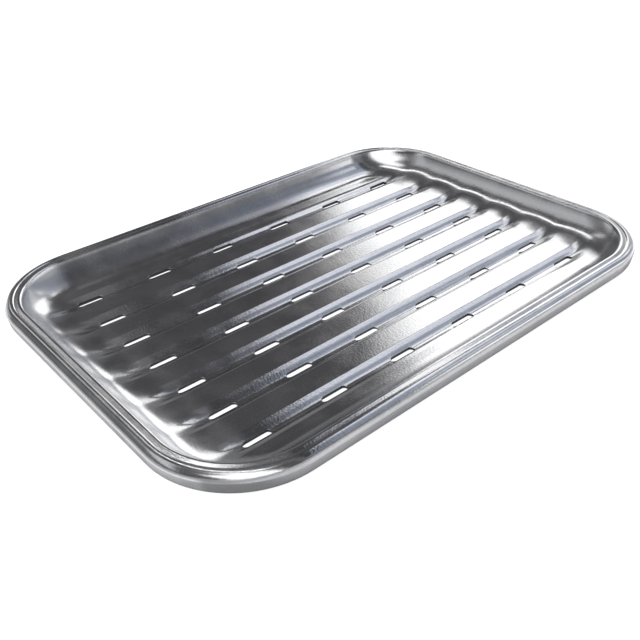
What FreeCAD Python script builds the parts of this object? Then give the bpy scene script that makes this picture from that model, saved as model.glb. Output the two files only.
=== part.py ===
import FreeCAD, Part
import os
from math import hypot, radians, sin, sqrt, tan
from FreeCAD import Vector

# A grill tray pressed from one piece of thin stainless sheet.
# A shallow pan with rounded corners carries long parallel grooves with short
# slots in their floors. The grooves sweep up and fade out in the end walls.
# All round, the sheet turns out into a flat rim and curls down and in.
# X runs along the grooves, Y across them, Z up. The groove floors stand on Z = 0.

# Sheet
SHEET = 0.7

# Outline of the rim, seen from above
TRAY_LENGTH = 343.0
TRAY_WIDTH = 244.0
CORNER_RADIUS = 53.0

# Heights, measured on the upper face of the sheet from the groove floors
RIM_RISE = 17.5
GROOVE_DEPTH = 3.1

# Pan: one large bend leads from the floor into the sloping wall
WALL_SLOPE = 65.0
PAN_BEND = 20.5

# Rim, from the wall outwards
RIM_WIDTH = 9.5
LIP_CHAMFER = 1.5
STEP_RUN = 0.6
STEP_RISE = 0.5
STEP_LAND = 0.4
ROLL_RADIUS = 4.4
ROLL_RETURN = 1.6

# Grooves, across their length: a steep lower flank and a gentler upper one
GROOVE_COUNT = 7
GROOVE_FLOOR = 4.4
GROOVE_KNEE = 7.5
KNEE_RISE = 1.5
GROOVE_MOUTH = 13.4
SIDE_LAND = 3.8

# Grooves, along their length: straight, then swept up with the pan's bend to fade out in the end
# wall. The sweep starts a set lead before the pan's bend, which is what makes the groove fade.
GROOVE_LEAD = 1.8
SWEEP_TURN = 64.0

# Slots in the groove floors, spread evenly along them
SLOT_COUNT = 6
SLOT_LEAD = 11.7
SLOT_LENGTH = 16.5
SLOT_WIDTH = 4.0

# Derived places
GROOVE_TOP = SHEET
PAN_TOP = GROOVE_TOP + GROOVE_DEPTH
RIM_TOP = GROOVE_TOP + RIM_RISE
CORNER_X = TRAY_LENGTH / 2 - CORNER_RADIUS
CORNER_Y = TRAY_WIDTH / 2 - CORNER_RADIUS
CORNERS = [
    Vector(CORNER_X, CORNER_Y, 0),
    Vector(-CORNER_X, CORNER_Y, 0),
    Vector(-CORNER_X, -CORNER_Y, 0),
    Vector(CORNER_X, -CORNER_Y, 0),
]


def shift_sideways(corners, distance):
    """The same bent line, moved by distance to its right-hand side."""
    count = len(corners)
    normals = []
    for (u0, z0, _), (u1, z1, _) in zip(corners, corners[1:]):
        run = hypot(u1 - u0, z1 - z0)
        normals.append(((z1 - z0) / run, (u0 - u1) / run))
    moved = []
    for i in range(count):
        before = normals[max(i - 1, 0)]
        after = normals[min(i, count - 2)]
        share = 1 + before[0] * after[0] + before[1] * after[1]
        du = (before[0] + after[0]) / share
        dz = (before[1] + after[1]) / share
        turns_left = before[0] * after[1] - before[1] * after[0] > 0
        bend = corners[i][2]
        if bend:
            bend = bend + distance if turns_left else bend - distance
        moved.append((corners[i][0] + distance * du, corners[i][1] + distance * dz, bend))
    return moved


def bent_line(corners, place):
    """Edges of a line through the corners, each rounded by its own bend radius or left sharp."""
    edges = []
    start = Vector(corners[0][0], corners[0][1], 0)
    for before, corner, after in zip(corners, corners[1:], corners[2:]):
        tip = Vector(corner[0], corner[1], 0)
        if not corner[2]:
            edges.append(Part.LineSegment(place(start), place(tip)).toShape())
            start = tip
            continue
        back = (Vector(before[0], before[1], 0) - tip).normalize()
        ahead = (Vector(after[0], after[1], 0) - tip).normalize()
        half = back.getAngle(ahead) / 2
        middle = (back + ahead).normalize()
        entry = tip + back * (corner[2] / tan(half))
        leave = tip + ahead * (corner[2] / tan(half))
        crown = tip + middle * (corner[2] / sin(half) - corner[2])
        edges.append(Part.LineSegment(place(start), place(entry)).toShape())
        edges.append(Part.Arc(place(entry), place(crown), place(leave)).toShape())
        start = leave
    end = Vector(corners[-1][0], corners[-1][1], 0)
    edges.append(Part.LineSegment(place(start), place(end)).toShape())
    return edges


def rolled_edge(centre, radius, back, place):
    """Edges of the rim's roll: half a turn outwards and down, then a short way back inwards."""
    top = Vector(centre.x, centre.y + radius, 0)
    side = Vector(centre.x + radius, centre.y, 0)
    low = Vector(centre.x, centre.y - radius, 0)
    roll = Part.Arc(place(top), place(side), place(low)).toShape()
    return [roll, Part.LineSegment(place(low), place(low - Vector(back, 0, 0))).toShape()]


def closed_face(edges, extra_points):
    """A face inside the edges, closed by straight lines over the extra points."""
    line = Part.Wire(edges)
    first = line.OrderedVertexes[0].Point
    last = line.OrderedVertexes[-1].Point
    closing = Part.makePolygon([last] + extra_points + [first])
    return Part.Face(Part.Wire(line.Edges + closing.Edges))


def along_wall(foot, lip, height):
    """The point on the straight wall, from foot to lip, at the given height."""
    share = (height - foot[1]) / (lip[1] - foot[1])
    return (foot[0] + share * (lip[0] - foot[0]), height, 0)


def upright(point):
    """Places (distance from the corner axis, height) in the plane Y = 0."""
    return Vector(point.x, 0, point.y)


def carried_round(face):
    """The section carried round the tray: four straight sides and four corners."""
    pieces = []
    for k in range(4):
        turned = face.copy()
        turned.rotate(Vector(0, 0, 0), Vector(0, 0, 1), 90 * k)
        side = turned.copy()
        side.translate(CORNERS[k - 1])
        pieces.append(side.extrude(CORNERS[k] - CORNERS[k - 1]))
        turned.translate(CORNERS[k])
        pieces.append(turned.revolve(CORNERS[k], Vector(0, 0, 1), 90))
    return pieces


def filled_pan(corners, top):
    """The space inside a pan surface, closed by a flat top."""
    edges = bent_line(corners, upright)
    face = closed_face(edges, [Vector(0, 0, top)])
    floor = corners[0][1]
    core = Part.makeBox(2 * CORNER_X, 2 * CORNER_Y, top - floor)
    core.translate(Vector(-CORNER_X, -CORNER_Y, floor))
    return core.multiFuse(carried_round(face)).removeSplitter()


def half_run(centre_y):
    """Half the straight length of a groove, which ends a set lead before the wall's bend begins."""
    inset = max(abs(centre_y) - CORNER_Y, 0)
    return CORNER_X + sqrt(bend_start ** 2 - inset ** 2) - GROOVE_LEAD


def filled_groove(corners, cap, centre_y):
    """The space inside one groove: a straight run with an end swept up at each side."""
    run = half_run(centre_y)

    def crosswise(point):
        return Vector(-run, centre_y + point.x, point.y)

    edges = bent_line(corners, crosswise)
    near, far = corners[0][0], corners[-1][0]
    lid = [crosswise(Vector(far, cap, 0)), crosswise(Vector(near, cap, 0))]
    face = closed_face(edges, lid)
    pieces = [face.extrude(Vector(2 * run, 0, 0))]
    axis_height = GROOVE_TOP + PAN_BEND
    pieces.append(face.revolve(Vector(-run, 0, axis_height), Vector(0, 1, 0), SWEEP_TURN))
    face.translate(Vector(2 * run, 0, 0))
    pieces.append(face.revolve(Vector(run, 0, axis_height), Vector(0, -1, 0), SWEEP_TURN))
    return pieces[0].multiFuse(pieces[1:]).removeSplitter()


def slot_cutter():
    """One slot: straight sides and round ends, cut straight down."""
    half = SLOT_LENGTH / 2 - SLOT_WIDTH / 2
    r = SLOT_WIDTH / 2
    low = -SHEET
    points = [Vector(-half, -r, low), Vector(half, -r, low), Vector(half, r, low), Vector(-half, r, low)]
    edges = [
        Part.LineSegment(points[0], points[1]).toShape(),
        Part.Arc(points[1], Vector(half + r, 0, low), points[2]).toShape(),
        Part.LineSegment(points[2], points[3]).toShape(),
        Part.Arc(points[3], Vector(-half - r, 0, low), points[0]).toShape(),
    ]
    return Part.Face(Part.Wire(edges)).extrude(Vector(0, 0, 3 * SHEET))


# Pan and rim, as one bent line on the upper face of the sheet
edge = CORNER_RADIUS
lip = (edge - RIM_WIDTH, RIM_TOP - STEP_RISE, 0)
foot_reach = lip[0] - (lip[1] - PAN_TOP) / tan(radians(WALL_SLOPE))
foot = (foot_reach, PAN_TOP, PAN_BEND)
roll_start = (edge - ROLL_RADIUS, RIM_TOP, 0)
step_high = (roll_start[0] - STEP_LAND, RIM_TOP, 0)
step_low = (step_high[0] - STEP_RUN, lip[1], 0)
lip_wall = along_wall(foot, lip, lip[1] - LIP_CHAMFER * sin(radians(WALL_SLOPE)))
lip_flat = (lip[0] + LIP_CHAMFER, lip[1], 0)
upper = [(0, PAN_TOP, 0), foot, lip_wall, lip_flat, step_low, step_high, roll_start]
lower = shift_sideways(upper, SHEET)

# The pan and the rim meet on the straight stretch of wall between their bends
half_slope = tan(radians(WALL_SLOPE) / 2)
bend_start = foot_reach - PAN_BEND * half_slope
bend_top = PAN_TOP + PAN_BEND * half_slope * sin(radians(WALL_SLOPE))
joint_height = (bend_top + lip_wall[1]) / 2
joint_upper = along_wall(upper[1], upper[2], joint_height)
joint_lower = along_wall(lower[1], lower[2], joint_height)

roll_centre = Vector(edge - ROLL_RADIUS, RIM_TOP - ROLL_RADIUS, 0)
roll_outside = rolled_edge(roll_centre, ROLL_RADIUS, ROLL_RETURN, upright)
roll_inside = rolled_edge(roll_centre, ROLL_RADIUS - SHEET, ROLL_RETURN, upright)
rim_top_edges = bent_line([joint_upper] + upper[2:], upright) + roll_outside
rim_under_edges = bent_line([joint_lower] + lower[2:], upright) + roll_inside
caps = [
    Part.LineSegment(roll_outside[-1].Vertexes[-1].Point, roll_inside[-1].Vertexes[-1].Point).toShape(),
    Part.LineSegment(upright(Vector(*joint_upper)), upright(Vector(*joint_lower))).toShape(),
]
rim_face = Part.Face(Part.Wire(Part.sortEdges(rim_top_edges + rim_under_edges + caps)[0]))
rim_pieces = carried_round(rim_face)
rim = rim_pieces[0].multiFuse(rim_pieces[1:]).removeSplitter()

# Groove section, from side to side on the upper face of the sheet
half_section = [
    (GROOVE_FLOOR / 2, GROOVE_TOP, 0),
    (GROOVE_KNEE / 2, GROOVE_TOP + KNEE_RISE, 0),
    (GROOVE_MOUTH / 2, PAN_TOP, 0),
    (GROOVE_MOUTH / 2 + SHEET, PAN_TOP, 0),
]
groove_upper = [(-u, z, bend) for u, z, bend in reversed(half_section)] + half_section
groove_lower = shift_sideways(groove_upper, SHEET)
groove_cap = PAN_TOP + SHEET
outer_row = CORNER_Y + bend_start - SIDE_LAND - GROOVE_MOUTH / 2
groove_pitch = 2 * outer_row / (GROOVE_COUNT - 1)
groove_rows = [k * groove_pitch - outer_row for k in range(GROOVE_COUNT)]

# The sheet is what lies between the space above it and the same space grown by its thickness
inside = filled_pan([upper[0], upper[1], joint_upper], joint_height)
outside = filled_pan([lower[0], lower[1], joint_lower], joint_height)
inside = inside.multiFuse([filled_groove(groove_upper, groove_cap, y) for y in groove_rows])
outside = outside.multiFuse([filled_groove(groove_lower, groove_cap, y) for y in groove_rows])
pan = outside.cut(inside)

# Slots, one row in the floor of each groove
slot_span = 2 * (half_run(0) - SLOT_LEAD) - SLOT_LENGTH
slot_pitch = slot_span / (SLOT_COUNT - 1)
slots = []
for y in groove_rows:
    for i in range(SLOT_COUNT):
        slot = slot_cutter()
        slot.translate(Vector(i * slot_pitch - slot_span / 2, y, 0))
        slots.append(slot)

tray = pan.fuse(rim).removeSplitter().cut(Part.makeCompound(slots))
tray = tray.Solids[0] if len(tray.Solids) == 1 else tray

os.makedirs("parts", exist_ok=True)
tray.exportStep("parts/tray.step")
box = tray.optimalBoundingBox(True, False)
print("tray: valid", tray.isValid(), "solids", len(tray.Solids), "faces", len(tray.Faces))
print("groove pitch", round(groove_pitch, 3), "slot pitch", round(slot_pitch, 3))
print("volume mm3", round(tray.Volume, 1), "area mm2", round(tray.Area, 1))
print("size mm", round(box.XLength, 3), round(box.YLength, 3), round(box.ZLength, 3))
print("lowest mm", round(box.ZMin, 4), "bend start", round(bend_start, 3))
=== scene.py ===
# %% [markdown]
# A stainless grill tray, seen as in its photograph.
# The tray is pressed from one thin sheet, so it has a single piece. Its shape comes from the CAD
# model. This lesson gives it the soft forms of pressed metal, the finish of the steel, the light
# that the steel mirrors, a floor to stand on and the photographer's point of view.

# %% Load the tray as a fixed frame
from math import cos, pi, radians, sin, tan

import bpy
import numpy as np
from mathutils import Matrix, Vector
from mathutils.geometry import delaunay_2d_cdt


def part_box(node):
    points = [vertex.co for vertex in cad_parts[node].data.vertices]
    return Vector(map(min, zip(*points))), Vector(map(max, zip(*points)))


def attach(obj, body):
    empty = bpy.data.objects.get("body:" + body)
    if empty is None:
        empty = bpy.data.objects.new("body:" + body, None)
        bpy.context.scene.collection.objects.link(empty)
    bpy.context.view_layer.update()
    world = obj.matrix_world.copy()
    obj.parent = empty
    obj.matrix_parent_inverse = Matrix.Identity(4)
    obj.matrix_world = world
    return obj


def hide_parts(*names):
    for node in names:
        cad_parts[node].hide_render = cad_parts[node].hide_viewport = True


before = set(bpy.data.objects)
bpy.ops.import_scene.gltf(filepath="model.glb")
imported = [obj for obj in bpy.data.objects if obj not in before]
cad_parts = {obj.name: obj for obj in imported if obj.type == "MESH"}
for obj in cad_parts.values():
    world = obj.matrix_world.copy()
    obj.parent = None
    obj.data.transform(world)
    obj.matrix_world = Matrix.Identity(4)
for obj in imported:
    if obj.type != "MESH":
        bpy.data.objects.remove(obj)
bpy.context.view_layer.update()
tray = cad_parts["tray"]
tray_low, tray_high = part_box("tray")
print("tray size in mm:", [round(1000 * side, 1) for side in tray_high - tray_low])

# %% [markdown]
# The camera. The slots lie on an even grid and the rim is a rounded rectangle, and that is enough
# to work out where the photographer stood. The pose is written the way a tripod head is set:
# a place, a pan, a tilt and a small roll. Blender's camera looks along its own -Z axis, so its
# matrix holds the right, up and backward directions as columns.

# %% The photographer's point of view
CAMERA_PLACE = Vector((-0.27005, -0.30869, 0.24354))
CAMERA_PAN = radians(50.036)
CAMERA_TILT = radians(33.40)
CAMERA_ROLL = radians(-1.988)
FOCAL_LENGTH = 43.57
SENSOR_WIDTH = 36
NEAREST_SEEN = 0.01

level_share = cos(CAMERA_TILT)
forward = Vector((level_share * cos(CAMERA_PAN), level_share * sin(CAMERA_PAN), -sin(CAMERA_TILT)))
level_right = Vector((sin(CAMERA_PAN), -cos(CAMERA_PAN), 0))
level_up = level_right.cross(forward)
right = cos(CAMERA_ROLL) * level_right + sin(CAMERA_ROLL) * level_up
up = cos(CAMERA_ROLL) * level_up - sin(CAMERA_ROLL) * level_right

camera_data = bpy.data.cameras.new("camera")
camera_data.lens = FOCAL_LENGTH
camera_data.sensor_width = SENSOR_WIDTH
camera_data.clip_start = NEAREST_SEEN
camera = bpy.data.objects.new("camera", camera_data)
aim = Matrix((right, up, -forward)).transposed().to_4x4()
camera.matrix_world = Matrix.Translation(CAMERA_PLACE) @ aim
bpy.context.scene.collection.objects.link(camera)
bpy.context.scene.camera = camera
bpy.context.scene.view_settings.view_transform = "Standard"
print("camera distance to the tray's middle in m:", round(CAMERA_PLACE.length, 3))

# %% [markdown]
# The pressed sheet. The CAD solid is made of flat and round faces that meet in creases. A press
# leaves softer forms: every groove edge is a little rounded, and at the ends of the tray the
# grooves widen, grow shallow and end as gentle waves in the wall. Polished steel shows each of
# these, so the tray gets a finer mesh of the same size in the same place. Sculpting by hand or
# subdividing the solid would lose the straight runs. Here every point comes from a formula: first
# the plain pan, then the groove pressed into it at a right angle to the pan's surface.
# The rolled rim is lower in the solid than in the photograph. The roll is stretched downwards by
# ROLL_DROP here, which changes neither the outline nor the height of the tray.

# %% Sizes of the sheet, in millimetres
MM = 0.001
LENGTH, WIDTH, HEIGHT = [side / MM for side in tray_high - tray_low]
SHEET = 0.7
CORNER_RADIUS = 53.0
GROOVE_DEPTH = 3.1
PAN_BEND = 20.5
WALL_SLOPE = radians(65)
RIM_WIDTH = 9.5
LIP_BEND = 2.2
STEP_RISE = 0.5
STEP_RUN = 1.1
FLANGE_FALL = 0.42
ROLL_RADIUS = 4.4
ROLL_RETURN = 1.6
ROLL_DROP = 3.6
ROLL_TAPER = 0.55
GROOVE_COUNT = 7
SIDE_LAND = 3.8
GROOVE_LEAD = 1.8
SLOT_COUNT = 6
SLOT_LEAD = 11.7
SLOT_LENGTH = 16.5
SLOT_WIDTH = 4.0

# %% [markdown]
# From these follow the places where the floor bends into the wall. "Reach" is the distance outwards
# from the centre line of the corners. The long sides bend with one radius. The ends start with a
# gentle toe, which gives the plateaus their sharp bright ends, and then bend in a tighter heel.

# %% Where the walls start
PAN_TOP = SHEET + GROOVE_DEPTH
FLANGE_TOP = HEIGHT - STEP_RISE
CORE_X = LENGTH / 2 - CORNER_RADIUS
CORE_Y = WIDTH / 2 - CORNER_RADIUS
LIP = CORNER_RADIUS - RIM_WIDTH
BEND_START = LIP - (FLANGE_TOP - PAN_TOP) / tan(WALL_SLOPE) - PAN_BEND * tan(WALL_SLOPE / 2)
BEND_END = BEND_START + PAN_BEND * sin(WALL_SLOPE)
BEND_RISE = PAN_BEND * (1 - cos(WALL_SLOPE))
TOE_RADIUS = 75.0
TOE_SLOPE = radians(12)
TOE_RISE = TOE_RADIUS * (1 - cos(TOE_SLOPE))
HEEL_RADIUS = (BEND_RISE - TOE_RISE) / (cos(TOE_SLOPE) - cos(WALL_SLOPE))
TOE_END = BEND_END - HEEL_RADIUS * (sin(WALL_SLOPE) - sin(TOE_SLOPE))
TOE_START = TOE_END - TOE_RADIUS * sin(TOE_SLOPE)
print("the end walls start", round(CORNER_RADIUS - TOE_START, 2), "mm inside the outline")
print("the wall's bend starts", round(CORNER_RADIUS - BEND_START, 2), "mm inside the outline")

# %% [markdown]
# The section of a groove is a shallow V at the bottom, then a steep flank and a gentler one. Past
# the last slot the groove opens out like a spoon: its section turns partly into a plain wave, and
# the wave fades on its way up the wall. The places of both changes are given as distances past the
# start of the bend, measured along the sheet. A press can't make sharp corners, so the section is
# averaged over a short width.

# %% Groove section and its fading ends
# distance from the middle of the groove, and the share of its depth that is left there
GROOVE_SECTION = [(0.0, 1.0), (0.25, 0.99), (2.15, 0.735), (3.75, 0.39), (6.7, 0.0)]
CORNER_BLUR = 0.4
BLUR_SAMPLES = 7
SPOON_START = -16.0
SPOON_END = 9.0
SPOON_SHARE = 0.6
FADE_MIDDLE = -2.0
FADE_LENGTH = 11.0
OUTER_ROW = CORE_Y + BEND_START - SIDE_LAND - GROOVE_SECTION[-1][0]
GROOVE_PITCH = 2 * OUTER_ROW / (GROOVE_COUNT - 1)


def smooth(value, low, high):
    """0 below low, 1 above high, and an S-shaped ramp between."""
    share = np.clip((value - low) / (high - low), 0, 1)
    return share * share * (3 - 2 * share)


def groove_depth(y, travelled):
    """Depth of the groove that lies at y, at a distance past the start of the wall's bend."""
    row = np.clip(np.round((y + OUTER_ROW) / GROOVE_PITCH), 0, GROOVE_COUNT - 1)
    off = np.abs(y + OUTER_ROW - row * GROOVE_PITCH)
    distances, shares = zip(*GROOVE_SECTION)
    shifts = np.linspace(-CORNER_BLUR, CORNER_BLUR, BLUR_SAMPLES)
    shifted = [np.interp(np.abs(off + shift), distances, shares) for shift in shifts]
    pressed = np.mean(shifted, axis=0)
    wave = 0.5 + 0.5 * np.cos(pi * np.clip(2 * off / GROOVE_PITCH, 0, 1))
    spoon = SPOON_SHARE * smooth(travelled, SPOON_START, SPOON_END)
    fade = 0.5 - 0.5 * np.tanh((travelled - FADE_MIDDLE) / FADE_LENGTH)
    return GROOVE_DEPTH * fade * (pressed + (wave - pressed) * spoon)


def bend(reach, end_share):
    """Slope and rise of the wall's bend, like the ends' where end_share is 1."""
    on_side = np.clip(reach - BEND_START, 0, BEND_END - BEND_START)
    side_slope = np.arcsin(on_side / PAN_BEND)
    side_rise = PAN_BEND * (1 - np.cos(side_slope))
    on_toe = np.clip(reach - TOE_START, 0, TOE_END - TOE_START)
    toe_slope = np.arcsin(on_toe / TOE_RADIUS)
    toe_rise = TOE_RADIUS * (1 - np.cos(toe_slope))
    on_heel = np.clip(reach - TOE_END, 0, BEND_END - TOE_END)
    heel_slope = np.arcsin(sin(TOE_SLOPE) + on_heel / HEEL_RADIUS)
    end_slope = toe_slope + heel_slope - TOE_SLOPE
    end_rise = toe_rise + HEEL_RADIUS * (cos(TOE_SLOPE) - np.cos(heel_slope))
    slope = side_slope + (end_slope - side_slope) * end_share
    rise = side_rise + (end_rise - side_rise) * end_share
    return slope, rise + np.maximum(reach - BEND_END, 0) * tan(WALL_SLOPE)


def sheet_point(x, y):
    """Where the upper face of the sheet lies, for places on the plain pan seen from above."""
    over_x, over_y = np.abs(x) - CORE_X, np.abs(y) - CORE_Y
    rounded = (over_x > 0) & (over_y > 0)
    reach = np.where(rounded, np.hypot(over_x, over_y), np.maximum(over_x, over_y))
    divisor = np.where(rounded, reach, 1)
    out_x = np.where(rounded, over_x / divisor, over_x >= over_y) * np.sign(x)
    out_y = np.where(rounded, over_y / divisor, over_x < over_y) * np.sign(y)
    slope, rise = bend(reach, out_x ** 2)
    past_start = np.clip(reach - BEND_START, 0, BEND_END - BEND_START)
    travelled = PAN_BEND * np.arcsin(past_start / PAN_BEND) + np.minimum(reach - BEND_START, 0)
    depth = groove_depth(y, travelled)
    lean = np.sin(slope) * depth
    height = PAN_TOP + rise - np.cos(slope) * depth
    return np.stack([x + out_x * lean, y + out_y * lean, height], axis=-1)


def sheet_normal(x, y, step=0.05):
    """The direction away from the upper face, from four points close by."""
    along_x = sheet_point(x + step, y) - sheet_point(x - step, y)
    along_y = sheet_point(x, y + step) - sheet_point(x, y - step)
    normal = np.cross(along_x, along_y)
    return normal / np.linalg.norm(normal, axis=-1, keepdims=True)


print("groove pitch in mm:", round(GROOVE_PITCH, 2))

# %% [markdown]
# The rim is a section carried round the tray: wall, lip, flat flange, a small step and a roll of
# half a turn. Its points are listed outwards on the upper face, round the free end of the sheet,
# and back inwards on the lower face, so one loop of points makes the whole thickness.

# %% Section of the rim
WALL_SIDE_ANGLE = 155
FLANGE_SIDE_ANGLE = 79
LIP_STEPS = 12
STEP_GAP = 0.3
STEP_POINTS = 9
ROLL_STEPS = 14
LOWER_ROLL_ANGLE = -8
NOSE_STEPS = 6


def arc(centre, radius, start, end, steps):
    """Points on an arc, with angles in degrees measured from the outward direction."""
    angles = np.radians(np.linspace(start, end, steps + 1))
    spokes = np.stack([np.cos(angles), np.sin(angles)], axis=-1)
    return np.array(centre) + radius * spokes


# the rim's section takes over from the pan just behind the end of the bend
JOINT = BEND_END + 0.1
joint_height = PAN_TOP + BEND_RISE + (JOINT - BEND_END) * tan(WALL_SLOPE)
LIP_TOP = FLANGE_TOP + FLANGE_FALL
lip_shift = (LIP_TOP - FLANGE_TOP) / tan(WALL_SLOPE)
lip_centre = (LIP + lip_shift + LIP_BEND * tan(WALL_SLOPE / 2), LIP_TOP - LIP_BEND)
roll_centre = (CORNER_RADIUS - ROLL_RADIUS, HEIGHT - ROLL_RADIUS)
lower_roll_centre = (roll_centre[0] - ROLL_TAPER, roll_centre[1] - ROLL_DROP)
step_end = roll_centre[0] - STEP_GAP
step_across = np.linspace(step_end - STEP_RUN, step_end, STEP_POINTS)
step_height = FLANGE_TOP + STEP_RISE * smooth(step_across, step_across[0], step_across[-1])
upper_line = np.concatenate([
    [(JOINT, joint_height)],
    arc(lip_centre, LIP_BEND, WALL_SIDE_ANGLE, FLANGE_SIDE_ANGLE, LIP_STEPS),
    np.stack([step_across, step_height], axis=-1),
    arc(roll_centre, ROLL_RADIUS, 90, 0, ROLL_STEPS),
    arc(lower_roll_centre, ROLL_RADIUS, LOWER_ROLL_ANGLE, -90, ROLL_STEPS),
    [(lower_roll_centre[0] - ROLL_RETURN, lower_roll_centre[1] - ROLL_RADIUS)],
])
ahead = np.gradient(upper_line, axis=0)
ahead[0] = upper_line[1] - upper_line[0]
side = np.stack([-ahead[:, 1], ahead[:, 0]], axis=-1)
side /= np.linalg.norm(side, axis=-1, keepdims=True)
side[0] = side[1] = (-sin(WALL_SLOPE), cos(WALL_SLOPE))
side[-1] = (0, -1)
nose_centre = upper_line[-1] - side[-1] * SHEET / 2
nose = arc(nose_centre, SHEET / 2, -90, -270, NOSE_STEPS)[1:-1]
rim_line = np.concatenate([upper_line, nose, (upper_line - side * SHEET)[::-1]])
rim_side = np.concatenate([side, (nose - nose_centre) / (SHEET / 2), -side[::-1]])
print("points in the rim's section:", len(rim_line))

# %% [markdown]
# Now the plan. Seen from above, the pan is a rounded rectangle with 42 slots in it. Its outline,
# its slots and a net of points between them are joined into triangles by Blender's Delaunay
# routine, which keeps every given edge. The net is fine across the grooves and at their ends,
# where the form changes, and wide along them, where it doesn't.

# %% Outline and slots in plan
CORNER_STEPS = 24
SIDE_STEP = 6.0
SLOT_END_STEPS = 8
EDGE_ROUNDING = 0.12
BURR_THICKNESS = 0.35
BURR_LOW = 0.03

centres = [(CORE_X, CORE_Y), (-CORE_X, CORE_Y), (-CORE_X, -CORE_Y), (CORE_X, -CORE_Y)]
stations = []
for k in range(4):
    here, there = np.array(centres[k]), np.array(centres[(k + 1) % 4])
    for angle in np.radians(np.linspace(90 * k, 90 * k + 90, CORNER_STEPS, endpoint=False)):
        stations.append((*here, cos(angle), sin(angle)))
    side_angle = radians(90 * k + 90)
    side_steps = round(np.linalg.norm(there - here) / SIDE_STEP)
    for share in np.linspace(0, 1, side_steps, endpoint=False):
        stations.append((*(here + share * (there - here)), cos(side_angle), sin(side_angle)))
stations = np.array(stations)
outline = stations[:, :2] + JOINT * stations[:, 2:]

straight_run = CORE_X + BEND_START - GROOVE_LEAD
slot_span = 2 * (straight_run - SLOT_LEAD) - SLOT_LENGTH
slot_places = [
    (slot_span * (i / (SLOT_COUNT - 1) - 0.5), k * GROOVE_PITCH - OUTER_ROW)
    for k in range(GROOVE_COUNT) for i in range(SLOT_COUNT)
]
end_x = SLOT_LENGTH / 2 - SLOT_WIDTH / 2
slot_shape = np.concatenate([
    arc((end_x, 0), SLOT_WIDTH / 2 + EDGE_ROUNDING, -90, 90, SLOT_END_STEPS),
    arc((-end_x, 0), SLOT_WIDTH / 2 + EDGE_ROUNDING, 90, 270, SLOT_END_STEPS),
])
print("stations round the rim:", len(stations), "slots:", len(slot_places))


# %% The net of points
ROW_OFFSETS = [0, 1.2, 2.0, 2.5, 3.1, 3.6, 4.1, 5.1, 6.2, 6.7, 7.2, 8.4, 10.2, 12.0]
WALL_ROW_STEP = 1.2
MIDDLE_X, MIDDLE_STEP = 132, 3.0
END_X, END_STEP = 133.2, 1.1
OUTLINE_MARGIN = 0.5
SLOT_MARGIN = 0.15


def inside_pan(x, y, margin):
    """True for places at least margin inside the outline."""
    over_x, over_y = np.abs(x) - CORE_X, np.abs(y) - CORE_Y
    rounded = (over_x > 0) & (over_y > 0)
    reach = np.where(rounded, np.hypot(over_x, over_y), np.maximum(over_x, over_y))
    return reach < JOINT - margin


def inside_slot(x, y, margin):
    """True for places in a slot, or less than margin outside it."""
    hit = np.zeros(np.shape(x), bool)
    for slot_x, slot_y in slot_places:
        from_end = np.maximum(np.abs(x - slot_x) - end_x, 0)
        hit |= np.hypot(from_end, y - slot_y) < SLOT_WIDTH / 2 + EDGE_ROUNDING + margin
    return hit


rows = {
    round(side_sign * off + k * GROOVE_PITCH - OUTER_ROW, 4)
    for k in range(GROOVE_COUNT) for off in [*ROW_OFFSETS, GROOVE_PITCH / 2]
    for side_sign in (-1, 1)
}
wall_rows = np.arange(max(rows) + WALL_ROW_STEP, CORE_Y + JOINT, WALL_ROW_STEP)
rows = np.array(sorted(rows | set(wall_rows) | set(-wall_rows)))
middle_columns = np.arange(-MIDDLE_X, MIDDLE_X + MIDDLE_STEP / 2, MIDDLE_STEP)
end_columns = np.arange(END_X, CORE_X + JOINT, END_STEP)
columns = np.concatenate([-end_columns[::-1], middle_columns, end_columns])
net_x, net_y = [grid.ravel() for grid in np.meshgrid(columns, rows)]
kept = inside_pan(net_x, net_y, OUTLINE_MARGIN) & ~inside_slot(net_x, net_y, SLOT_MARGIN)
net = np.stack([net_x[kept], net_y[kept]], axis=-1)
print("points in the net:", len(net))

# %% Triangles of the pan in plan
plan = [outline] + [slot_shape + np.array(place) for place in slot_places] + [net]
plan_edges = []
first = 0
for loop in plan[:-1]:
    count = len(loop)
    plan_edges += [(first + i, first + (i + 1) % count) for i in range(count)]
    first += count
plan_points = [Vector(point) for point in np.concatenate(plan)]
found = delaunay_2d_cdt(plan_points, plan_edges, [], 0, 1e-6, True)
flat = np.array([tuple(point) for point in found[0]])
triangles = np.array(found[2])
middle = flat[triangles].mean(axis=1)
triangles = triangles[inside_pan(*middle.T, 0) & ~inside_slot(*middle.T, 0)]
given_to_found = {given: index for index, sources in enumerate(found[3]) for given in sources}
print("triangles in the pan's upper face:", len(triangles))

# %% [markdown]
# The same triangles make both faces of the sheet: the lower one is the upper one moved back by the
# sheet's thickness and turned over. Between the two, each slot gets a wall with a softly broken
# upper edge and the small burr that a punch leaves on the far side. The rim's section is carried
# round the stations of the outline.

# %% Points, faces and normals of the whole sheet
upper = sheet_point(*flat.T)
normal = sheet_normal(*flat.T)
lower = upper - normal * SHEET
points, normals = [upper, lower], [normal, -normal]
below = len(flat)
faces = [tuple(face) for face in triangles] + [tuple(face[::-1] + below) for face in triangles]


def add_points(new_points, new_normals):
    """Adds points to the sheet and returns their numbers."""
    start = sum(len(block) for block in points)
    points.append(np.asarray(new_points))
    normals.append(np.asarray(new_normals))
    return list(range(start, start + len(new_points)))


def join_loops(one, other):
    """Quads between two closed loops of the same count."""
    count = len(one)
    for i in range(count):
        j = (i + 1) % count
        faces.append((one[i], one[j], other[j], other[i]))


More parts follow.
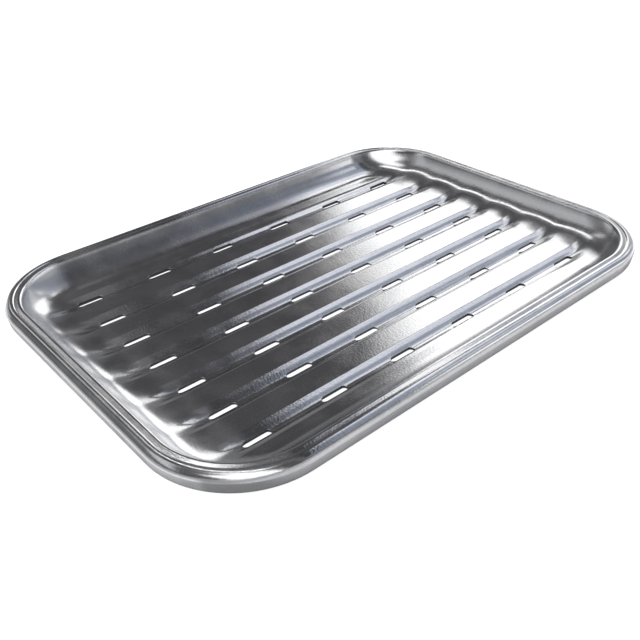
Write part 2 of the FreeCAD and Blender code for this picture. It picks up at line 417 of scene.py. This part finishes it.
# %% Slot walls and the rim
first = len(outline)
for place in slot_places:
    loop = [given_to_found[first + i] for i in range(len(slot_shape))]
    first += len(slot_shape)
    inward = slot_shape - np.array([(np.clip(x, -end_x, end_x), 0) for x, y in slot_shape])
    inward = -np.pad(inward / np.linalg.norm(inward, axis=-1, keepdims=True), ((0, 0), (0, 1)))
    down = np.array([0, 0, EDGE_ROUNDING])
    wall = upper[loop] + inward * EDGE_ROUNDING
    foot = np.column_stack([wall[:, :2], np.full(len(wall), BURR_LOW)])
    rings = [
        loop,
        add_points(wall - down, inward),
        add_points(foot, inward),
        add_points(foot - inward * BURR_THICKNESS, -inward),
        [index + below for index in loop],
    ]
    for high_ring, low_ring in zip(rings, rings[1:]):
        join_loops(high_ring, low_ring)

ring = [given_to_found[i] for i in range(len(outline))]
rim_rings = [ring]
for (reach, height), (out, rise) in list(zip(rim_line, rim_side))[1:-1]:
    in_plan = stations[:, :2] + reach * stations[:, 2:]
    place = np.column_stack([in_plan, np.full(len(stations), height)])
    facing = np.column_stack([out * stations[:, 2:], np.full(len(stations), rise)])
    rim_rings.append(add_points(place, facing))
rim_rings.append([index + below for index in ring])
for inner_ring, outer_ring in zip(rim_rings, rim_rings[1:]):
    join_loops(outer_ring, inner_ring)

# %% The sheet as one mesh
sheet_mesh = bpy.data.meshes.new("pressed_sheet")
sheet_mesh.from_pydata(np.concatenate(points) * MM, [], faces)
sheet_mesh.polygons.foreach_set("use_smooth", [True] * len(sheet_mesh.polygons))
sheet_mesh.normals_split_custom_set_from_vertices(np.concatenate(normals))
sheet_mesh.validate()
pressed_sheet = bpy.data.objects.new("pressed_sheet", sheet_mesh)
bpy.context.scene.collection.objects.link(pressed_sheet)
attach(pressed_sheet, "root")
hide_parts("tray")
print("points:", len(sheet_mesh.vertices), "faces:", len(sheet_mesh.polygons))

# %% [markdown]
# A few helpers that wire shader nodes. A node tree is a small program, and these make its lines
# short: one adds a node, one does arithmetic, one makes a soft step, and one mixes colours.

# %% Helpers for node trees
def add_node(tree, kind, **settings):
    """A new node with some of its settings given by name."""
    node = tree.nodes.new(kind)
    for name, value in settings.items():
        setattr(node, name, value)
    return node


def feed(tree, socket, value):
    """Links an output to a socket, or writes a plain value on it."""
    if isinstance(value, bpy.types.NodeSocket):
        tree.links.new(value, socket)
    else:
        socket.default_value = value


def calculate(tree, operation, *values):
    """One arithmetic step on one, two or three values."""
    node = add_node(tree, "ShaderNodeMath", operation=operation)
    for socket, value in zip(node.inputs, values):
        feed(tree, socket, value)
    return node.outputs[0]


def soft_step(tree, value, low, high):
    """0 below low, 1 above high, and a smooth ramp between."""
    node = add_node(tree, "ShaderNodeMapRange", interpolation_type="SMOOTHSTEP")
    for name, given in (("Value", value), ("From Min", low), ("From Max", high)):
        feed(tree, node.inputs[name], given)
    return node.outputs["Result"]


def mix_colours(tree, share, first, second, blend="MIX"):
    """The first colour, with a share of the second laid over it."""
    node = add_node(tree, "ShaderNodeMix", data_type="RGBA", blend_type=blend)
    feed(tree, node.inputs["Factor"], share)
    feed(tree, node.inputs["A"], first)
    feed(tree, node.inputs["B"], second)
    return node.outputs["Result"]


def new_group(name, inputs, outputs):
    """An empty node group with named sockets, and its input and output nodes."""
    group = bpy.data.node_groups.new(name, "ShaderNodeTree")
    for socket_name, kind, value in inputs:
        socket = group.interface.new_socket(socket_name, in_out="INPUT", socket_type=kind)
        if value is not None:
            socket.default_value = value
    for socket_name, kind in outputs:
        group.interface.new_socket(socket_name, in_out="OUTPUT", socket_type=kind)
    return group, group.nodes.new("NodeGroupInput"), group.nodes.new("NodeGroupOutput")


def place_group(tree, group, **values):
    """A copy of the group in a tree, with some of its inputs set."""
    node = add_node(tree, "ShaderNodeGroup", node_tree=group)
    for name, value in values.items():
        feed(tree, node.inputs[name.replace("_", " ")], value)
    return node


# %% [markdown]
# The light. Polished steel has hardly any colour of its own and shows the room. In the photograph
# that room is a bright window side towards +X, a dark room behind, and a few small lights. Here it
# is painted on the world as soft panels, each of them a patch between two pairs of values. There
# are two ways to say where a panel is. All grooves run along X, and a surface that only leans
# sideways keeps the X part of the mirrored direction, so most panels are parts of hoops around the
# X axis: "reach" is the X part of a direction, and "turn" is the angle around X, 0 on the +Y
# horizon and 90 overhead. The window that the plateaus show has upright edges. It is placed like
# on a compass, by "bearing", 0 towards +X and 90 towards +Y, and "elevation" above the horizon.
# Area lamps could do it too, but panels in the world have no far side and cost no render time.

# %% One soft panel of the room
panel_group, panel_in, panel_out = new_group(
    "room panel",
    [
        ("Below", "NodeSocketColor", None),
        ("Reach", "NodeSocketFloat", 0.0),
        ("Turn", "NodeSocketFloat", 0.0),
        ("Reach Low", "NodeSocketFloat", 0.0),
        ("Reach High", "NodeSocketFloat", 1.0),
        ("Reach Soft", "NodeSocketFloat", 0.05),
        ("Turn Low", "NodeSocketFloat", 0.0),
        ("Turn High", "NodeSocketFloat", 90.0),
        ("Turn Soft", "NodeSocketFloat", 5.0),
        ("Colour", "NodeSocketColor", None),
    ],
    [("Colour", "NodeSocketColor")],
)


def soft_band(tree, value, low, high, soft):
    """1 between low and high, with soft ends."""
    ramps = []
    for edge in (low, high):
        start, end = [calculate(tree, way, edge, soft) for way in ("SUBTRACT", "ADD")]
        ramps.append(soft_step(tree, value, start, end))
    return calculate(tree, "MULTIPLY", ramps[0], calculate(tree, "SUBTRACT", 1.0, ramps[1]))


sockets = panel_in.outputs
bands = []
for kind in ("Reach", "Turn"):
    limits = [sockets[kind + end] for end in (" Low", " High", " Soft")]
    bands.append(soft_band(panel_group, sockets[kind], *limits))
share = calculate(panel_group, "MULTIPLY", *bands)
covered = mix_colours(panel_group, share, sockets["Below"], sockets["Colour"])
panel_group.links.new(covered, panel_out.inputs["Colour"])

# %% The room around the tray
# Each list is laid over the ones before it.
ROOM_DARK = (0.095, 0.093, 0.097, 1)
# name, reach from and to, softness, turn from and to, softness, colour
BASE_PANELS = [
    ("far room", -0.95, -0.36, 0.06, 40, 66, 5, (0.68, 0.70, 0.71, 1)),
    ("far room's dark part", -0.95, -0.36, 0.06, 8, 36, 5, (0.16, 0.16, 0.17, 1)),
    ("low light on the far side", -0.42, -0.04, 0.05, -8, 13, 4, (0.60, 0.60, 0.60, 1)),
    ("light strip", 0.285, 0.335, 0.02, 48, 162, 6, (0.20, 0.20, 0.205, 1)),
    ("dark middle", 0.35, 0.53, 0.02, -12, 76, 4, (0.075, 0.073, 0.077, 1)),
    ("dark upper part", 0.35, 0.475, 0.02, 72, 132, 5, (0.060, 0.059, 0.064, 1)),
    ("near room", 0.335, 0.58, 0.03, 132, 162, 4, (0.20, 0.205, 0.22, 1)),
    ("grey side", 0.56, 0.90, 0.03, -12, 28, 4, (0.21, 0.21, 0.22, 1)),
]
# name, bearing from and to, softness, elevation from and to, softness, colour
COMPASS_PANELS = [
    ("low grey room", 49, 75, 4, -6, 20, 4, (0.20, 0.20, 0.205, 1)),
    ("window's soft side", 24, 48, 5, 19, 32, 3, (0.55, 0.55, 0.55, 1)),
    ("big window", 22, 43.9, 3.3, 23.5, 37.2, 2.5, (1.6, 1.6, 1.6, 1)),
    ("window's core", 22, 39.5, 2.5, 5, 36, 2, (1.6, 1.6, 1.6, 1)),
    ("dark above the window", 10, 60, 4, 36.6, 47, 1.2, (0.085, 0.085, 0.09, 1)),
]
# name, reach from and to, softness, turn from and to, softness, colour
UPPER_PANELS = [
    ("window wall", 0.53, 1.2, 0.02, 64, 78, 4, (0.30, 0.315, 0.35, 1)),
    ("bright strip", 0.470, 1.2, 0.006, 74, 91, 2.5, (0.86, 0.89, 0.98, 1)),
    ("blue wall", 0.470, 1.2, 0.006, 91, 138, 3, (0.42, 0.455, 0.53, 1)),
    ("blue wall's dark part", 0.465, 1.2, 0.008, 104, 138, 5, (0.29, 0.325, 0.40, 1)),
    ("near window", 0.60, 1.2, 0.04, 139, 158, 2, (1.25, 1.25, 1.25, 1)),
    ("end light", 0.84, 1.2, 0.04, -12, 60, 6, (0.62, 0.63, 0.65, 1)),
    ("table's edge", -1.2, 1.2, 0.05, 160, 190, 3, (0.62, 0.62, 0.62, 1)),
    ("window behind the camera", -0.72, -0.04, 0.03, 99, 158, 3, (1.5, 1.5, 1.5, 1)),
    ("far corner's light", -0.30, -0.05, 0.03, 82, 104, 4, (1.5, 1.5, 1.5, 1)),
    ("far wall's streak", 0.60, 0.73, 0.02, 110, 125, 5, (0.80, 0.82, 0.86, 1)),
    ("far bend's streak", 0.56, 0.655, 0.015, 63, 75, 2, (1.4, 1.4, 1.4, 1)),
    ("window's low part", 0.60, 0.768, 0.025, 4, 38, 5, (1.6, 1.6, 1.6, 1)),
    ("lamp", 0.06, 0.108, 0.014, 46, 96, 6, (4.5, 4.5, 4.5, 1)),
    ("lamp's low end", -0.08, 0.02, 0.03, 22, 42, 6, (1.1, 1.1, 1.1, 1)),
]
# name, bearing from and to, softness, elevation from and to, softness, colour
CORNER_PANELS = [
    ("corner window", -3, 9, 3, 24.5, 32, 3, (1.5, 1.5, 1.5, 1)),
]

# %% The panels in the world
world = bpy.data.worlds.new("room")
bpy.context.scene.world = world
world.use_nodes = True
room = world.node_tree
room.nodes.clear()
direction = add_node(room, "ShaderNodeSeparateXYZ")
room.links.new(add_node(room, "ShaderNodeTexCoord").outputs["Generated"], direction.inputs[0])
reach, sideways, upright = [direction.outputs[axis] for axis in "XYZ"]
turn = calculate(room, "DEGREES", calculate(room, "ARCTAN2", upright, sideways))
bearing = calculate(room, "DEGREES", calculate(room, "ARCTAN2", sideways, reach))
elevation = calculate(room, "DEGREES", calculate(room, "ARCSINE", upright))
seen = ROOM_DARK
panel_sets = [
    (reach, turn, BASE_PANELS), (bearing, elevation, COMPASS_PANELS),
    (reach, turn, UPPER_PANELS), (bearing, elevation, CORNER_PANELS),
]
# the panel's sockets are named for the hoops, and take bearing and elevation just as well
for across, over, panels in panel_sets:
    for name, low, high, soft, turn_low, turn_high, turn_soft, colour in panels:
        panel = place_group(
            room, panel_group, Below=seen, Reach=across, Turn=over,
            Reach_Low=low, Reach_High=high, Reach_Soft=soft,
            Turn_Low=turn_low, Turn_High=turn_high, Turn_Soft=turn_soft, Colour=colour,
        )
        panel.label = name
        seen = panel.outputs["Colour"]

paths = add_node(room, "ShaderNodeLightPath")
backdrop = mix_colours(room, paths.outputs["Is Camera Ray"], seen, (1, 1, 1, 1))
background = add_node(room, "ShaderNodeBackground")
feed(room, background.inputs["Color"], backdrop)
output = add_node(room, "ShaderNodeOutputWorld")
room.links.new(background.outputs[0], output.inputs["Surface"])
print("room panels:", sum(len(panels) for _, _, panels in panel_sets))

# %% [markdown]
# The floor is a pale table top. Alone it would come out grey, because the room is partly dark, so
# rays that come from the camera also get a glow close to white. The steel mirrors that glow too,
# but not from under the tray, where its shade is, nor from the dark side of the room. The rest is
# real light, so the tray still casts a soft shadow and its slots show the white table.

# %% Floor
FLOOR_SIZE = 6.0
FLOOR_DROP = 0.0004
FLOOR_GLOW = 0.86
FLOOR_COLOUR = (0.80, 0.80, 0.80, 1)
SHADE_WIDTH = 0.016
DARK_SIDE = -0.20

floor_mesh = bpy.data.meshes.new("floor")
half = FLOOR_SIZE / 2
in_plan = [(-half, -half), (half, -half), (half, half), (-half, half)]
floor_mesh.from_pydata([(x, y, -FLOOR_DROP) for x, y in in_plan], [], [(0, 1, 2, 3)])
floor = bpy.data.objects.new("floor", floor_mesh)
bpy.context.scene.collection.objects.link(floor)

# %% Floor material
floor_material = bpy.data.materials.new("pale table top")
floor_material.use_nodes = True
table = floor_material.node_tree
table.nodes.clear()
matte = add_node(table, "ShaderNodeBsdfDiffuse")
matte.inputs["Color"].default_value = FLOOR_COLOUR
glow = add_node(table, "ShaderNodeEmission")
floor_paths = add_node(table, "ShaderNodeLightPath")
floor_spot = add_node(table, "ShaderNodeSeparateXYZ")
table.links.new(add_node(table, "ShaderNodeTexCoord").outputs["Object"], floor_spot.inputs[0])
mirror_rays = [floor_paths.outputs[kind] for kind in ("Is Glossy Ray", "Is Transmission Ray")]
mirrored = calculate(table, "MAXIMUM", *mirror_rays)
beyond = []
for axis, half_side in (("X", tray_high.x), ("Y", tray_high.y)):
    from_middle = calculate(table, "ABSOLUTE", floor_spot.outputs[axis])
    beyond.append(soft_step(table, from_middle, half_side, half_side + SHADE_WIDTH))
clear_of_tray = calculate(table, "MAXIMUM", *beyond)
lit_side = soft_step(
    table, floor_spot.outputs["X"], DARK_SIDE - SHADE_WIDTH, DARK_SIDE + SHADE_WIDTH
)
for part in (clear_of_tray, lit_side):
    mirrored = calculate(table, "MULTIPLY", mirrored, part)
shown = calculate(table, "MAXIMUM", floor_paths.outputs["Is Camera Ray"], mirrored)
feed(table, glow.inputs["Strength"], calculate(table, "MULTIPLY", shown, FLOOR_GLOW))
both_parts = add_node(table, "ShaderNodeAddShader")
table.links.new(matte.outputs[0], both_parts.inputs[0])
table.links.new(glow.outputs[0], both_parts.inputs[1])
table_output = add_node(table, "ShaderNodeOutputMaterial")
table.links.new(both_parts.outputs[0], table_output.inputs["Surface"])
floor_mesh.materials.append(floor_material)
print("floor side in m:", FLOOR_SIZE)

# %% [markdown]
# The steel. Stainless sheet from the mill is bright with a very fine pebble, and pressing it leaves
# cloudy patches. In the photograph the pebble breaks every mirrored edge into speckles about a
# millimetre across. A fine bump does that, a slow noise varies how blurred the mirror is, and a
# fast one lays pale specks over the almost neutral grey.

# %% Patterns in the steel
PEBBLE_PER_METRE = 900.0
SPECKLES_PER_METRE = 1100.0
CLOUDS_PER_METRE = 55.0
STROKES_PER_METRE = (60.0, 700.0, 110.0)

steel = bpy.data.materials.new("pressed stainless steel")
steel.use_nodes = True
tree = steel.node_tree
shader = tree.nodes["Principled BSDF"]
place = add_node(tree, "ShaderNodeTexCoord").outputs["Object"]


def noise(scale, detail, vector=place):
    """Soft random values over the sheet, with blobs of one over scale metres."""
    node = add_node(tree, "ShaderNodeTexNoise", noise_dimensions="3D")
    feed(tree, node.inputs["Vector"], vector)
    node.inputs["Scale"].default_value = scale
    node.inputs["Detail"].default_value = detail
    return node.outputs["Fac"]


clouds = soft_step(tree, noise(CLOUDS_PER_METRE, 5.0), 0.34, 0.66)
speckle = soft_step(tree, noise(SPECKLES_PER_METRE, 3.0), 0.42, 0.68)
pebble = noise(PEBBLE_PER_METRE, 2.0)
stretched = add_node(tree, "ShaderNodeMapping")
feed(tree, stretched.inputs["Vector"], place)
stretched.inputs["Scale"].default_value = STROKES_PER_METRE
strokes = noise(1.0, 2.0, stretched.outputs["Vector"])
print("clouds per metre:", CLOUDS_PER_METRE, "pebble per metre:", PEBBLE_PER_METRE)

# %% [markdown]
# The finish changes from place to place. The end walls were drawn over the edge of the die, which
# left them rougher, with fine strokes where they are steepest. The long walls are duller, and their
# colour is darkened as painted shade, except on the part of the far wall near the window, which the
# window lights. The cut edges of the slots are painted dark, as painted shade for walls that mirror
# the shaded table under the tray.
# Each of these is a mask from 0 to 1, made from the place on the tray or from where a face points.

# %% Where the finish changes, in metres
DRAWN_END_X = (0.122, 0.128)
LONG_WALL_Y = (0.0965, 0.1015)
RIM_Z = (0.0150, 0.0165)
# where the window lights the far wall: low on it from x = 0.03 m, and all of it towards +X
WINDOW_LIT_LOW_X = (0.03, 0.08)
WINDOW_LIT_LOW_Z = (0.0068, 0.0088)
WINDOW_LIT_X = (0.07, 0.11)
SLOT_WALL_TOP = 0.0022
STEEP_SHARE = (0.55, 0.80)
UPRIGHT_SHARE = 0.3


def size_of(value):
    """The value without its sign."""
    return calculate(tree, "ABSOLUTE", value)


def opposite(mask):
    """1 where the mask is 0, and 0 where it is 1."""
    return calculate(tree, "SUBTRACT", 1.0, mask)


def both_of(one, other):
    """1 where both masks are 1."""
    return calculate(tree, "MULTIPLY", one, other)


on_tray = add_node(tree, "ShaderNodeSeparateXYZ")
tree.links.new(place, on_tray.inputs[0])
x, y, z = [on_tray.outputs[axis] for axis in "XYZ"]
facing = add_node(tree, "ShaderNodeSeparateXYZ")
tree.links.new(add_node(tree, "ShaderNodeNewGeometry").outputs["True Normal"], facing.inputs[0])

below_rim = opposite(soft_step(tree, z, *RIM_Z))
steep_end = soft_step(tree, size_of(facing.outputs["X"]), *STEEP_SHARE)
drawn_end = soft_step(tree, size_of(x), *DRAWN_END_X)
long_wall = both_of(soft_step(tree, size_of(y), *LONG_WALL_Y), below_rim)
# the part of the far wall that the window lights keeps its plain colour and roughness
window_lit_wall = both_of(
    soft_step(tree, x, *WINDOW_LIT_LOW_X), opposite(soft_step(tree, z, *WINDOW_LIT_LOW_Z))
)
window_lit_wall = calculate(tree, "MAXIMUM", window_lit_wall, soft_step(tree, x, *WINDOW_LIT_X))
window_lit_wall = both_of(window_lit_wall, calculate(tree, "GREATER_THAN", y, 0.0))
# the long walls away from the window: rougher, and darkened below as painted shade
dull_and_shaded = both_of(long_wall, opposite(window_lit_wall))
# the upright slot walls, which get a dark colour as painted shade
slot_wall_shade = both_of(
    calculate(tree, "LESS_THAN", size_of(facing.outputs["Z"]), UPRIGHT_SHARE),
    calculate(tree, "LESS_THAN", z, SLOT_WALL_TOP),
)
print("the long walls turn dull past y in mm:", [edge / MM for edge in LONG_WALL_Y])

# %% Colour of the steel
DARK_STEEL = (0.68, 0.685, 0.70, 1)
PALE_STEEL = (0.78, 0.78, 0.79, 1)
SPECK_COLOUR = (0.98, 0.98, 0.98, 1)
SPECK_SHARE = 0.28
# painted shade: a near-black colour for the slot walls
SLOT_WALL_SHADE = (0.13, 0.13, 0.135, 1)
# painted shade: a darkening tint for the long walls away from the window
LONG_WALL_SHADE = (0.60, 0.60, 0.61, 1)

colour = mix_colours(tree, clouds, DARK_STEEL, PALE_STEEL)
specks = calculate(tree, "MULTIPLY", speckle, SPECK_SHARE)
colour = mix_colours(tree, specks, colour, SPECK_COLOUR)
# painted shade on the slot walls
colour = mix_colours(tree, slot_wall_shade, colour, SLOT_WALL_SHADE)
# painted shade on the long walls away from the window
colour = mix_colours(tree, dull_and_shaded, colour, LONG_WALL_SHADE, blend="MULTIPLY")
feed(tree, shader.inputs["Base Color"], colour)
shader.inputs["Metallic"].default_value = 1.0
print("steel colour:", DARK_STEEL[:3], "to", PALE_STEEL[:3])

# %% Roughness and bump
PLAIN_ROUGHNESS = 0.09
# mask, and the roughness that it adds
ADDED_ROUGHNESS = [
    (clouds, 0.06), (drawn_end, 0.07), (both_of(steep_end, below_rim), 0.12), (dull_and_shaded, 0.13),
]
PEBBLE_HEIGHT = 0.00003
STROKE_HEIGHT = 0.00006

roughness = PLAIN_ROUGHNESS
for mask, added in ADDED_ROUGHNESS:
    roughness = calculate(tree, "MULTIPLY_ADD", mask, added, roughness)
feed(tree, shader.inputs["Roughness"], roughness)

pebble_height = calculate(tree, "MULTIPLY", pebble, PEBBLE_HEIGHT)
stroke_height = both_of(calculate(tree, "MULTIPLY", strokes, STROKE_HEIGHT), steep_end)
bump = add_node(tree, "ShaderNodeBump")
bump.inputs["Strength"].default_value = 1.0
bump.inputs["Distance"].default_value = 1.0
feed(tree, bump.inputs["Height"], calculate(tree, "ADD", pebble_height, stroke_height))
feed(tree, shader.inputs["Normal"], bump.outputs["Normal"])

sheet_mesh.materials.append(steel)
tray.data.materials.clear()
tray.data.materials.append(steel)
print("roughness of the plain sheet:", PLAIN_ROUGHNESS, "pebble in mm:", PEBBLE_HEIGHT / MM)
